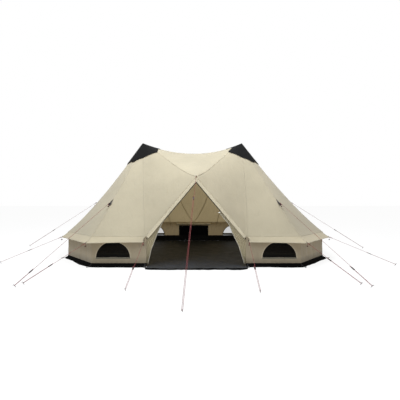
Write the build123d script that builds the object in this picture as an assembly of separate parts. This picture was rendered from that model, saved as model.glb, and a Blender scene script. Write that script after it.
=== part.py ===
from build123d import *
import os
from math import atan2, cos, hypot, pi, sin, tan

# Twin-pole bell tent, pitched, in millimetres.
# Origin: on the ground under the middle of the ridge. +Z is up, the door faces -Y.

# ---------------------------------------------------------------- driving dimensions
CLOTH = 1.2                 # thickness of one layer of cloth, groundsheet or mesh
ROOF_DROP = 2.0             # vertical thickness of the sloping roof cloth
WALL_TOP = 680              # height of the seam where roof and wall meet
SEAM_GAP = 2                # roof cloth clears the top of the wall by this much
EAVE_Z = 568                # height of the eave's edge
PEAK_X = 1480               # half the distance between the two peaks
PEAK_SHIFT = -70            # the peaks stand a little to the left, as pitched
PEAK_Z = 3200
RIDGE_MID_Z = 2895          # the ridge sags between the poles
RIDGE_STEPS = 3             # straight pieces in each half of the ridge
DOOR_APEX = (0, -1890, 2050)
HALF_DEPTH = 1890           # front and rear walls
DOOR_HALF = 1130            # half the door's width at the foot
JAMB_TOP_X = 1150           # half the door's width at the wall's top
CORNER_X = 2375             # front and rear corners
SHOULDER = (3315, 1005)     # corners between the long and the short walls
END_X = 3500                # outermost corner, on the long axis
REAR_GUY_X = 870            # inner rear guy, half spacing

MUD_STRIP_H = 77            # black strip round the foot of the wall
MUD_SPREAD = 110            # width of the strip's edge that lies out on the ground
RIM_H = 200                 # raised edge of the groundsheet
RIM_GAP = 3                 # between wall and groundsheet rim
SILL_DEPTH = 310            # groundsheet that lies out in front of the door

WINDOW_X_FRONT = 1888
WINDOW_X_REAR = 1480
WINDOW_Z = 197              # height of the window's straight foot
WINDOW_HALF_W = 397
WINDOW_H = 380
HATCH_HALF_W = 545          # dark panel in the rear wall
HATCH_H = 570
ROLL_R = 36                 # rolled flap over the rear panel
ROLL_HALF_L = 640
ROLL_Z = 628
ROLL_GAP = 4                # between the roll and the wall
ROLL_EDGE = 12              # rounding of the roll's ends

# Vent caps reach this share of the way down each seam, from the door round to the rear.
CAP_SHARES = (0.28, 0.21, 0.24, 0.248, 0.25, 0.248, 0.24, 0.21, 0.25)
CAP_LIFT = 12               # caps stand clear of the roof
CAP_RIDGE_STEP = 1          # ridge point that the cap's inner corner stands on

POLE_R = 16                 # main poles
POLE_WALL = 1.6
POLE_JOINT_Z = 1640
POLE_TOP_Z = 3168
POLE_PLUG_L = 12            # plug in the pole's top, which carries the pin
PIN_R = 5
PIN_L = 18
FERRULE_HALF_L = 80
SLIDE_FIT = 0.1             # clearance on the radius of the ferrule
PUSH_FIT = 0.05             # clearance on the radius of feet and sleeves
FOOT_SOLE = 6
FOOT_WALL = 4
FOOT_H = 26
FOOT_EDGE = 2

LEG_R = 14                  # door frame tubes
LEG_WALL = 1.2
LEG_INSET = 80              # distance of the tube's centre from the roof's door edge
LEG_Y = -1835
LEG_START = 27              # a tube starts this far from the frame's apex
LEG_END = 22                # and stops this far from the floor
SLEEVE_L = 90
SLEEVE_WALL = 3
SHOE_REACH = 46             # a shoe covers this much of a tube's way to the floor
SHOE_WALL = 3.5
CROWN_PIN_R = 6             # pin that carries the roof over the door
CROWN_PIN_L = 90
HEM_WIDTH = 75              # cloth band along both door edges
HEM_GAP = 4

FLAP_Y = (-1886, -1853)     # tied-back door cloth, front and back
FLAP_FOOT_Z = 60

ROPE_R = 3
PEG_R = 3.5
LOOP_R = 7.9                # rope centreline round the peg
LOOP_Z = 34                 # height of the rope's loop on its peg
PEG_OVER_LOOP = 14
HOOK_R = 11
HOOK_TURN = 2.5             # angle of the hook's bend, in radians
RING_R = 12
RING_WIRE_R = 2
RING_OUT = 18               # ring centre beyond the eave's tip
ROPE_OUT = 36               # rope's start beyond the eave's tip
RUNNER_L = 84
RUNNER_W = 31
RUNNER_T = 11
RUNNER_BORE_R = 3.4
TAIL = 14                   # rope end that stands out of the runner

WALL_PEG_OUT = 140          # peg beyond the wall's corner
WALL_PEG_LOOP_Z = 16
DOOR_PEG_ASIDE = 30         # door corner pegs stand this far outside the door

os.makedirs("parts", exist_ok=True)


def save(shapes, node):
    """Write one node. Separate pieces of the same node stay separate solids."""
    solids = [s for shape in shapes for s in shape.solids()]
    export_step(Compound(children=solids) if len(solids) > 1 else solids[0], f"parts/{node}.step")


# ---------------------------------------------------------------- points of the roof
ROOF_Z = WALL_TOP + SEAM_GAP + ROOF_DROP
PEAK = {-1: (PEAK_SHIFT - PEAK_X, 0, PEAK_Z), 1: (PEAK_SHIFT + PEAK_X, 0, PEAK_Z)}
REAR_SEAM_FOOT = (0, HALF_DEPTH, ROOF_Z)
REAR_EAVE_MID = (0, 1960, EAVE_Z)


def ridge_point(side, step):
    """Point of the sagging ridge. Step 0 is the peak, the last step is the middle."""
    share = 1 - step / RIDGE_STEPS
    x = PEAK[side][0] * share
    return (x, 0, RIDGE_MID_Z + (PEAK_Z - RIDGE_MID_Z) * share**2)


def wall_line(side):
    """Roof points over the wall, from the door round to the middle of the rear."""
    return [
        (side * JAMB_TOP_X, -HALF_DEPTH, ROOF_Z),
        (side * CORNER_X, -HALF_DEPTH, ROOF_Z),
        (side * SHOULDER[0], -SHOULDER[1], ROOF_Z),
        (side * END_X, 0, ROOF_Z),
        (side * SHOULDER[0], SHOULDER[1], ROOF_Z),
        (side * CORNER_X, HALF_DEPTH, ROOF_Z),
        (side * REAR_GUY_X, HALF_DEPTH, ROOF_Z),
        REAR_SEAM_FOOT,
    ]


def eave_line(side):
    """Tips of the eave, in the order of wall_line."""
    return [
        (side * 1186, -1960, EAVE_Z),
        (side * 2427, -2105, EAVE_Z),
        (side * 3411, -1160, EAVE_Z),
        (side * 3745, 0, EAVE_Z),
        (side * 3411, 1160, EAVE_Z),
        (side * 2427, 2105, EAVE_Z),
        (side * 900, 1985, EAVE_Z),
        REAR_EAVE_MID,
    ]


def panel(points, lift=0):
    """Flat piece of sloping cloth, its upper face through the points."""
    raised = [Vector(p) + Vector(0, 0, lift) for p in points]
    return extrude(Face(Wire.make_polygon(raised, close=True)), ROOF_DROP, dir=(0, 0, -1))


def canopy():
    cloth = []
    for side in (-1, 1):
        walls = wall_line(side)
        eaves = eave_line(side)
        cloth.append(panel([PEAK[side], DOOR_APEX, walls[0]]))
        for i in range(len(walls) - 1):
            cloth.append(panel([PEAK[side], walls[i], walls[i + 1]]))
            cloth.append(panel([walls[i], eaves[i], eaves[i + 1]]))
            cloth.append(panel([walls[i], eaves[i + 1], walls[i + 1]]))
        for step in range(RIDGE_STEPS):
            ridge = [ridge_point(side, step), ridge_point(side, step + 1)]
            cloth.append(panel([DOOR_APEX] + ridge))
            cloth.append(panel([REAR_SEAM_FOOT] + ridge))
    save(cloth, "canopy")


def vent_cap(side, node):
    """Cap over one peak, with a corner on every seam."""
    top = Vector(PEAK[side])
    feet = [Vector(DOOR_APEX)] + [Vector(p) for p in wall_line(side)]
    corners = [top + (foot - top) * share for foot, share in zip(feet, CAP_SHARES)]
    inner = Vector(ridge_point(side, CAP_RIDGE_STEP))
    rim = [inner] + corners + [inner]
    save([panel([top, rim[i], rim[i + 1]], CAP_LIFT) for i in range(len(rim) - 1)], node)


# ---------------------------------------------------------------- walls and floor
def ring(offset):
    """Corners of the wall's plan, moved inward by offset (outward if negative)."""
    corners = [
        (-CORNER_X, -HALF_DEPTH),
        (-SHOULDER[0], -SHOULDER[1]),
        (-END_X, 0),
        (-SHOULDER[0], SHOULDER[1]),
        (-CORNER_X, HALF_DEPTH),
        (CORNER_X, HALF_DEPTH),
        (SHOULDER[0], SHOULDER[1]),
        (END_X, 0),
        (SHOULDER[0], -SHOULDER[1]),
        (CORNER_X, -HALF_DEPTH),
    ]
    moved = []
    for i, here in enumerate(corners):
        here = Vector(here)
        before = (here - Vector(corners[i - 1])).normalized()
        after = (Vector(corners[(i + 1) % len(corners)]) - here).normalized()
        inward = Vector(before.Y, -before.X) + Vector(after.Y, -after.X)
        moved.append(here + inward.normalized() * (offset / cos(before.get_angle(after) * pi / 360)))
    return moved


def plan_prism(points, low, high):
    """Upright prism over a plan outline."""
    outline = Wire.make_polygon([Vector(p.X, p.Y, low) for p in points], close=True)
    return extrude(Face(outline), high - low, dir=(0, 0, 1))


def strip(outer, inner, i, low, high):
    """Stretch of a standing strip between two corners of the plan."""
    j = (i + 1) % len(outer)
    return plan_prism([outer[i], outer[j], inner[j], inner[i]], low, high)


def front_strips(outer, inner, door_half, low, high):
    """The two stretches beside the door, with their corner mitres."""
    left = [outer[0], Vector(-door_half, outer[0].Y), Vector(-door_half, inner[0].Y), inner[0]]
    right = [outer[9], Vector(door_half, outer[9].Y), Vector(door_half, inner[9].Y), inner[9]]
    return [plan_prism(left, low, high), plan_prism(right, low, high)]


def rear_strips(outer, inner, half, low, high):
    """The two stretches of the rear beside its panel."""
    left = [outer[4], Vector(-half, outer[4].Y), Vector(-half, inner[4].Y), inner[4]]
    right = [outer[5], Vector(half, outer[5].Y), Vector(half, inner[5].Y), inner[5]]
    return [plan_prism(left, low, high), plan_prism(right, low, high)]


def window_solid(x, y_low, y_high, shrink):
    """D-shaped window: a straight foot under half an ellipse."""
    outline = Ellipse(WINDOW_HALF_W - shrink, WINDOW_H - shrink)
    outline &= Pos(0, WINDOW_H / 2 + shrink) * Rectangle(2 * WINDOW_HALF_W, WINDOW_H)
    face = Plane((x, y_high, WINDOW_Z), x_dir=(1, 0, 0), z_dir=(0, -1, 0)) * outline
    return extrude(face, y_high - y_low)


def windows(shrink, margin):
    """All four windows as solids through the front and rear walls."""
    inner = HALF_DEPTH - CLOTH
    made = []
    for side in (-1, 1):
        made.append(window_solid(side * WINDOW_X_FRONT, -HALF_DEPTH - margin, -inner + margin, shrink))
        made.append(window_solid(side * WINDOW_X_REAR, inner - margin, HALF_DEPTH + margin, shrink))
    return made


def walls():
    outer = ring(0)
    inner = ring(CLOTH)
    front = front_strips(outer, inner, DOOR_HALF, 0, WALL_TOP)
    rear = rear_strips(outer, inner, HATCH_HALF_W, 0, WALL_TOP)
    plain = [strip(outer, inner, i, 0, WALL_TOP) for i in (0, 1, 2, 3, 5, 6, 7, 8)]
    header = Pos(0, HALF_DEPTH - CLOTH / 2, (HATCH_H + WALL_TOP) / 2) * Box(
        2 * HATCH_HALF_W, CLOTH, WALL_TOP - HATCH_H
    )
    cut = windows(0, 5)
    glazed = [front[0] - cut[0], front[1] - cut[2], rear[0] - cut[1], rear[1] - cut[3]]
    save(glazed + plain + [header], "walls")
    save(windows(0.2, 0), "window_mesh")


def mud_strip():
    edge = ring(-CLOTH - MUD_SPREAD)
    outer = ring(-CLOTH)
    inner = ring(0)
    made = [strip(outer, inner, i, 0, MUD_STRIP_H) for i in range(9)]
    made += front_strips(outer, inner, DOOR_HALF, 0, MUD_STRIP_H)
    made += [strip(edge, outer, i, 0, CLOTH) for i in range(9)]
    made += front_strips(edge, outer, DOOR_HALF, 0, CLOTH)
    save(made, "mud_strip")


def groundsheet():
    outer = ring(CLOTH + RIM_GAP)
    inner = ring(2 * CLOTH + RIM_GAP)
    floor = plan_prism(outer, 0, CLOTH)
    rim = [strip(outer, inner, i, CLOTH, RIM_H) for i in range(9)]
    rim += front_strips(outer, inner, DOOR_HALF, CLOTH, RIM_H)
    sill_rear = outer[0].Y
    sill_front = -HALF_DEPTH - SILL_DEPTH
    sill = Pos(0, (sill_front + sill_rear) / 2, CLOTH / 2) * Box(
        2 * DOOR_HALF - 4, sill_rear - sill_front, CLOTH
    )
    save([floor, sill] + rim, "groundsheet")


def rear_panel():
    panel_solid = Pos(0, HALF_DEPTH - CLOTH / 2, HATCH_H / 2) * Box(
        2 * HATCH_HALF_W - 0.4, CLOTH, HATCH_H - 0.4
    )
    roll = Rot(0, 90, 0) * Cylinder(ROLL_R, 2 * ROLL_HALF_L)
    roll = Pos(0, HALF_DEPTH - CLOTH - ROLL_R - ROLL_GAP, ROLL_Z) * fillet(roll.edges(), ROLL_EDGE)
    save([panel_solid], "rear_hatch")
    save([roll], "rear_hatch_roll")


# ---------------------------------------------------------------- poles
def tube(radius, bore, low, high):
    return Pos(0, 0, (low + high) / 2) * (Cylinder(radius, high - low) - Cylinder(bore, high - low))


def main_pole(side, name):
    """Two tubes, one plugged into the other, with a pin at the top."""
    bore = POLE_R - POLE_WALL
    sole = CLOTH + FOOT_SOLE
    ferrule_bore = bore - POLE_WALL
    place = Pos(PEAK[side][0], 0, 0)
    lower = tube(POLE_R, bore, sole, POLE_JOINT_Z)
    lower += tube(bore, ferrule_bore, POLE_JOINT_Z - FERRULE_HALF_L, POLE_JOINT_Z)
    lower += tube(bore - SLIDE_FIT, ferrule_bore, POLE_JOINT_Z, POLE_JOINT_Z + FERRULE_HALF_L)
    upper = tube(POLE_R, bore, POLE_JOINT_Z, POLE_TOP_Z)
    upper += Pos(0, 0, POLE_TOP_Z - POLE_PLUG_L / 2) * Cylinder(bore, POLE_PLUG_L)
    upper += Pos(0, 0, POLE_TOP_Z + PIN_L / 2) * Cylinder(PIN_R, PIN_L)
    save([place * lower], f"main_pole_{name}_lower")
    save([place * upper], f"main_pole_{name}_upper")


def main_pole_foot(side):
    cup = Pos(0, 0, CLOTH + FOOT_H / 2) * Cylinder(POLE_R + FOOT_WALL, FOOT_H)
    cup = fillet(cup.edges(), FOOT_EDGE)
    cup -= Pos(0, 0, CLOTH + FOOT_SOLE + FOOT_H / 2) * Cylinder(POLE_R + PUSH_FIT, FOOT_H)
    return Pos(PEAK[side][0], 0, 0) * cup


def door_edge():
    """Direction of the left door edge, downward, in the plane of the door."""
    return (Vector(-JAMB_TOP_X, -HALF_DEPTH, ROOF_Z) - Vector(DOOR_APEX)).normalized()


def leg_axis(side):
    """Top point and downward direction of one tube of the door frame."""
    down = door_edge()
    drop = LEG_INSET / -down.X
    top = Vector(0, LEG_Y, DOOR_APEX[2] - drop)
    return top, Vector(-side * down.X, 0, down.Z)


def along(start, direction, length, radius):
    """Rod of a given length from a start point."""
    return extrude(Plane(start, z_dir=direction) * Circle(radius), length)


def door_frame():
    below_floor = Pos(0, LEG_Y, CLOTH - 100) * Box(6000, 200, 200)
    feet = []
    apex = None
    for side, name in ((-1, "left"), (1, "right")):
        top, down = leg_axis(side)
        length = (top.Z - CLOTH) / -down.Z
        start = top + down * LEG_START
        leg = along(start, down, length - LEG_START - LEG_END, LEG_R)
        leg -= along(start, down, length, LEG_R - LEG_WALL)
        save([leg], f"door_frame_{name}_leg")
        shoe = along(top + down * (length - SHOE_REACH), down, 2 * SHOE_REACH, LEG_R + SHOE_WALL)
        shoe -= along(start, down, length - LEG_START - LEG_END + PUSH_FIT, LEG_R + PUSH_FIT)
        feet.append(shoe - below_floor)
        sleeve = along(top, down, SLEEVE_L, LEG_R + SLEEVE_WALL)
        apex = sleeve if apex is None else apex + sleeve
    crown_z = leg_axis(1)[0].Z
    apex += Pos(0, LEG_Y, crown_z) * Sphere(LEG_R + SLEEVE_WALL)
    apex += Pos(0, LEG_Y, crown_z + CROWN_PIN_L / 2) * Cylinder(CROWN_PIN_R, CROWN_PIN_L)
    for side in (-1, 1):
        top, down = leg_axis(side)
        apex -= along(top + down * (LEG_START - PUSH_FIT), down, SLEEVE_L, LEG_R + PUSH_FIT)
    save([apex], "door_frame_apex")
    save([main_pole_foot(-1), main_pole_foot(1)] + feet, "pole_feet")


# ---------------------------------------------------------------- door cloth
def upright_sheet(outline, y_low, y_high):
    """Upright piece with its outline in X and Z."""
    points = [Vector(x, y_high, z) for x, z in outline]
    return extrude(Face(Wire.make_polygon(points, close=True)), y_high - y_low, dir=(0, -1, 0))


def door_hem():
    """Cloth band that runs down both edges of the door from its apex."""
    down = door_edge()
    slope = down.Z / down.X
    near = HEM_GAP / -down.X
    far = (HEM_GAP + HEM_WIDTH) / -down.X
    foot_x = DOOR_HALF
    bands = []
    for side in (-1, 1):
        top = DOOR_APEX[2]
        outline = [
            (0, top - near),
            (side * foot_x, top - near - foot_x * slope),
            (side * foot_x, top - far - foot_x * slope),
            (0, top - far),
        ]
        bands.append(upright_sheet(outline, -HALF_DEPTH, -HALF_DEPTH + CLOTH))
    save(bands, "door_hem")


def door_flaps():
    """Door cloth drawn to each side and tied: free edge first, then the edge by the wall."""
    left = [
        (-763, 1010),
        (-885, 747),
        (-1026, 375),
        (-1095, FLAP_FOOT_Z),
        (-1126, FLAP_FOOT_Z),
        (-1126, 215),
        (-1170, 260),
        (-1170, 560),
        (-850, 985),
    ]
    right = [
        (522, 1228),
        (742, 960),
        (824, 761),
        (960, 488),
        (1098, FLAP_FOOT_Z),
        (1126, FLAP_FOOT_Z),
        (1126, 215),
        (1170, 260),
        (1170, 560),
        (650, 1226),
    ]
    save([upright_sheet(left, *FLAP_Y)], "door_flap_left")
    save([upright_sheet(right, *FLAP_Y)], "door_flap_right")


# ---------------------------------------------------------------- guy ropes
# Each guy: attachment on the tent, peg on the ground, share of the way down to its runner.
SEAM_GUY_SHARE = 0.71
SEAM_GUY_LIFT = 24


def seam_guy(side, corner):
    """Attachment above the roof seam that runs to one point of wall_line."""
    top = Vector(PEAK[side])
    spot = top + (Vector(wall_line(side)[corner]) - top) * SEAM_GUY_SHARE
    return (spot.X, spot.Y, spot.Z + SEAM_GUY_LIFT)


GUYS = {
    "door": ((0, -1896, 2060), (-247, -4278), 0.245),
    "front_left_inner": (eave_line(-1)[0], (-1215, -3471), 0.62),
    "front_left_corner": (eave_line(-1)[1], (-3106, -3144), 0.60),
    "side_left_front": (eave_line(-1)[2], (-4635, -1598), 0.53),
    "roof_left_front": (seam_guy(-1, 1), (-3163, -3282), 0.87),
    "roof_left_end": (seam_guy(-1, 3), (-5309, 635), 0.62),
    "side_left_rear": (eave_line(-1)[4], (-4480, 1690), 0.60),
    "rear_left_corner": (eave_line(-1)[5], (-3005, 3150), 0.58),
    "rear_left_inner": (eave_line(-1)[6], (-985, 3510), 0.62),
    "roof_left_rear": (seam_guy(-1, 5), (-3080, 3310), 0.80),
    "front_right_inner": (eave_line(1)[0], (997, -3568), 0.60),
    "front_right_corner": (eave_line(1)[1], (2885, -3171), 0.45),
    "side_right_front": (eave_line(1)[2], (4566, -1814), 0.62),
    "roof_right_front": (seam_guy(1, 1), (2980, -3300), 0.84),
    "roof_right_end": (seam_guy(1, 3), (5223, 305), 0.60),
    "side_right_rear": (eave_line(1)[4], (4460, 1720), 0.56),
    "rear_right_corner": (eave_line(1)[5], (2990, 3170), 0.62),
    "rear_right_inner": (eave_line(1)[6], (960, 3530), 0.58),
    "roof_right_rear": (seam_guy(1, 5), (3070, 3330), 0.80),
}


def guy_layout(tip, peg):
    """Rope start, first corner at the peg, direction of the strands, and their sideways axis."""
    tip = Vector(tip)
    flat = Vector(peg[0] - tip.X, peg[1] - tip.Y).normalized()
    reach = hypot(peg[0] - tip.X, peg[1] - tip.Y)
    fall = atan2(tip.Z - LOOP_Z, reach)
    loop = Vector(peg[0], peg[1], LOOP_Z) + flat * (LOOP_Z * tan(fall))
    start = tip + (loop - tip).normalized() * ROPE_OUT
    side = Vector(-flat.Y, flat.X)
    beside = loop + side * LOOP_R
    down = (beside - start).normalized()
    across = (side - down * side.dot(down)).normalized()
    return start, beside + down * LOOP_R, down, across


def guy_route(tip, peg, share):
    """Rope from the tent, round the peg and back through the runner."""
    start, corner, down, across = guy_layout(tip, peg)
    second = corner - across * (2 * LOOP_R + 0.2)
    back = (corner - start).length * (1 - share)
    return [start, corner, second, second - down * (back + RUNNER_L / 2 + TAIL)]


def guy_rope(name, tip, peg, share):
    route = guy_route(tip, peg, share)
    path = FilletPolyline(*route, radius=[LOOP_R, LOOP_R])
    rope = sweep(Plane(route[0], z_dir=(path % 0)) * Circle(ROPE_R), path=path)
    expected = pi * ROPE_R**2 * path.length
    print(
        f"guy_rope_{name}: length {path.length:.0f} mm, radii {LOOP_R} {LOOP_R},"
        f" volume / (section x length) {rope.volume / expected:.4f}"
    )
    save([rope], f"guy_rope_{name}")


def guy_runner(name, tip, peg, share):
    """Flat bar with two bores along it, one for each strand."""
    start, corner, down, across = guy_layout(tip, peg)
    gap = 2 * LOOP_R + 0.2
    middle = start + down * ((corner - start).length * share) - across * (gap / 2)
    bar = extrude(SlotOverall(RUNNER_L, RUNNER_W), RUNNER_T / 2, both=True)
    bar = fillet(bar.edges(), 2.5)
    for y in (-gap / 2, gap / 2):
        bar -= Pos(0, y, 0) * Rot(0, 90, 0) * Cylinder(RUNNER_BORE_R, 2 * RUNNER_L)
    place = Plane(middle, x_dir=down, z_dir=down.cross(across))
    save([place * bar], f"guy_runner_{name}")


def ground_cut():
    """Everything below the ground, to cut pegs flush with it."""
    return Pos(0, 0, -150) * Box(14000, 12000, 300)


def hook_peg(loop, lean, outward, over):
    """Round steel peg through a point, leaning, with a hook bent over outward at its top."""
    top = loop + lean * over
    foot = loop - lean * (loop.Z / lean.Z + 20)
    turn = (outward - lean * outward.dot(lean)).normalized()
    bend = [
        top + (turn * (1 - cos(angle)) + lean * sin(angle)) * HOOK_R
        for angle in (HOOK_TURN / 2, HOOK_TURN)
    ]
    path = Wire([Edge.make_line(foot, top), Edge.make_three_point_arc(top, *bend)])
    return sweep(Plane(foot, z_dir=lean) * Circle(PEG_R), path=path)


def guy_peg(tip, peg):
    start, corner, down, across = guy_layout(tip, peg)
    loop = corner - down * LOOP_R - across * (LOOP_R + 0.1)
    lean = down.cross(across).normalized()
    lean = lean if lean.Z > 0 else -lean
    return hook_peg(loop, lean, down, PEG_OVER_LOOP)


def wall_peg_spots():
    """Plan point and outward direction of each peg at the wall's foot."""
    spots = []
    outer = ring(0)
    for i in range(10):
        here = outer[i]
        before = (here - outer[i - 1]).normalized()
        after = (outer[(i + 1) % 10] - here).normalized()
        out = Vector(-before.Y, before.X) + Vector(-after.Y, after.X)
        spots.append((here, out.normalized()))
    for side in (-1, 1):
        spots.append((Vector(side * (DOOR_HALF + DOOR_PEG_ASIDE), -HALF_DEPTH), Vector(0, -1)))
        spots.append((Vector(side * REAR_GUY_X, HALF_DEPTH), Vector(0, 1)))
    return spots


def wall_peg(here, out):
    spot = here + out * WALL_PEG_OUT
    lean = Vector(out.X * sin(0.35), out.Y * sin(0.35), cos(0.35))
    return hook_peg(Vector(spot.X, spot.Y, WALL_PEG_LOOP_Z), lean, out, 8)


def pegs():
    made = [guy_peg(tip, peg) for tip, peg, share in GUYS.values()]
    made += [wall_peg(*spot) for spot in wall_peg_spots()]
    save([peg - ground_cut() for peg in made], "pegs")


def wire_ring(centre, normal):
    return Plane(centre, z_dir=normal) * Torus(RING_R, RING_WIRE_R)


def guy_rings():
    """Steel ring at the tent's end of each guy, in line with its rope."""
    made = []
    for tip, peg, share in GUYS.values():
        start, corner, down, across = guy_layout(tip, peg)
        made.append(wire_ring(Vector(tip) + down * RING_OUT, across))
    save(made, "guy_rings")


canopy()
vent_cap(-1, "vent_cap_left")
vent_cap(1, "vent_cap_right")
walls()
mud_strip()
groundsheet()
rear_panel()
main_pole(-1, "left")
main_pole(1, "right")
door_frame()
door_hem()
door_flaps()
pegs()
guy_rings()
for guy, (guy_tip, guy_peg_spot, guy_share) in GUYS.items():
    guy_rope(guy, guy_tip, guy_peg_spot, guy_share)
    guy_runner(guy, guy_tip, guy_peg_spot, guy_share)
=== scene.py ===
import math
import bpy
import numpy as np
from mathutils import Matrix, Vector, noise


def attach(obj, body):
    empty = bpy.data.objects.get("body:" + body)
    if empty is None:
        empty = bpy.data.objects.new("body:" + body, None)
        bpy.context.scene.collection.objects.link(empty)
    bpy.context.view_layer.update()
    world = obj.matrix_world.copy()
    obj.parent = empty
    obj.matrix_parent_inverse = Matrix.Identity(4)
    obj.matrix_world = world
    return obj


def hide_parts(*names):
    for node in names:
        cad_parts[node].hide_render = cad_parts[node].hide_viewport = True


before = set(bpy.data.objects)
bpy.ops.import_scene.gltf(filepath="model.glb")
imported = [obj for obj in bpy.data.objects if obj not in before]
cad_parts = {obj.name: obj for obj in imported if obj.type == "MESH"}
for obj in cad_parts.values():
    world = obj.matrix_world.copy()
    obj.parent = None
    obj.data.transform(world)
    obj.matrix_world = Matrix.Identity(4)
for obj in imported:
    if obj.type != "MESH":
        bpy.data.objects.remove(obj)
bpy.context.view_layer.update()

# Twin-pole bell tent. Metres, in the CAD's frame: ground at z = 0, the door faces -Y.
BODY = "tent"
SIDES = {-1: "left", 1: "right"}
UP = Vector((0, 0, 1))

# ---------------------------------------------------------------- sizes
PEAK = {-1: Vector((-1.55, 0, 3.2)), 1: Vector((1.41, 0, 3.2))}
RIDGE_MID_Z = 2.895
DOOR_APEX = Vector((0, -1.89, 2.05))
ROOF_Z = 0.684              # roof cloth over the wall's top
WALL_TOP = 0.68
EAVE_Z = 0.568
HALF_DEPTH = 1.89
DOOR_HALF = 1.13
JAMB_TOP_X = 1.15
CORNER_X = 2.375
SHOULDER = (3.315, 1.005)
END_X = 3.5
REAR_GUY_X = 0.87
REAR_SEAM_FOOT = Vector((0, HALF_DEPTH, ROOF_Z))

CLOTH = 0.0012              # thickness of the cloth
ROPE_R = 0.003
LOOP_R = 0.0079
PEG_STRAIGHT = 0.036        # spacing of the rope's points next to its peg
LOOP_GAP = 0.016
LOOP_Z = 0.034
ROPE_OUT = 0.036
RUNNER_L = 0.084
TAIL = 0.014
EYE_HALF_L = 0.022          # rope's eye through the ring: half length, half width, set back
EYE_HALF_W = 0.0085
EYE_BACK = 0.006
STOPPER_BACK = 0.004
KNOT_REACH = 1.75           # a knot's turns in rope radii: reach and pitch
KNOT_PITCH = 1.7
SEAM_GUY_SHARE = 0.71
SEAM_GUY_MARKS = (2, 4, 6)  # seams with a guy, counted from the door round to the rear
SEAM_GUY_LIFT = 0.024

# Plan of the wall's corners on the right, from the front round to the rear.
WALL_CORNERS = [
    (CORNER_X, -HALF_DEPTH),
    (SHOULDER[0], -SHOULDER[1]),
    (END_X, 0),
    SHOULDER,
    (CORNER_X, HALF_DEPTH),
]
# Plan of the eave's tips on the right, in the order of wall_line.
EAVE_TIPS = [
    (1.186, -1.96), (2.427, -2.105), (3.411, -1.16), (3.745, 0),
    (3.411, 1.16), (2.427, 2.105), (0.9, 1.985), (0, 1.96),
]


def wall_line(side):
    """Roof points over the wall, from the door round to the middle of the rear."""
    plan = [(JAMB_TOP_X, -HALF_DEPTH), *WALL_CORNERS, (REAR_GUY_X, HALF_DEPTH), (0, HALF_DEPTH)]
    return [Vector((side * x, y, ROOF_Z)) for x, y in plan]


def eave_line(side):
    """Tips of the eave, in the order of wall_line."""
    return [Vector((side * x, y, EAVE_Z)) for x, y in EAVE_TIPS]


# ---------------------------------------------------------------- small helpers
def shares(steps):
    """Even steps from 0 to 1."""
    return [k / steps for k in range(steps + 1)]


def angles(steps, count):
    """The first count angles of a full turn cut into steps."""
    return [2 * math.pi * k / steps for k in range(count)]


def shade(colour, factor):
    return tuple(c * factor for c in colour)


def grey(level):
    return (level, level, level)


def wobble(point, scale, seed):
    """Smooth noise from -1 to 1, the same on every run."""
    return noise.noise(Vector(point) * scale + Vector((seed, seed * 0.37, -seed)))


def crease(point, scale, seed):
    """Narrow ridges, from 0 to 1, where smooth noise passes through zero."""
    return max(0.0, 1 - abs(wobble(point, scale, seed)) * 7)


# ---------------------------------------------------------------- camera
CAMERA_AT = (-0.15, -7.79, 1.51)     # fitted to the photo's view
CAMERA_LENS = 23.4
CAMERA_SENSOR = 36
CAMERA_SHIFT = 0.026


def make_camera():
    data = bpy.data.cameras.new("camera")
    data.sensor_width = CAMERA_SENSOR
    data.lens = CAMERA_LENS
    data.shift_x = CAMERA_SHIFT
    data.clip_end = 200
    camera = bpy.data.objects.new("camera", data)
    camera.location = CAMERA_AT
    camera.rotation_euler = (math.radians(90), 0, 0)
    bpy.context.collection.objects.link(camera)
    bpy.context.scene.camera = camera


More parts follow.
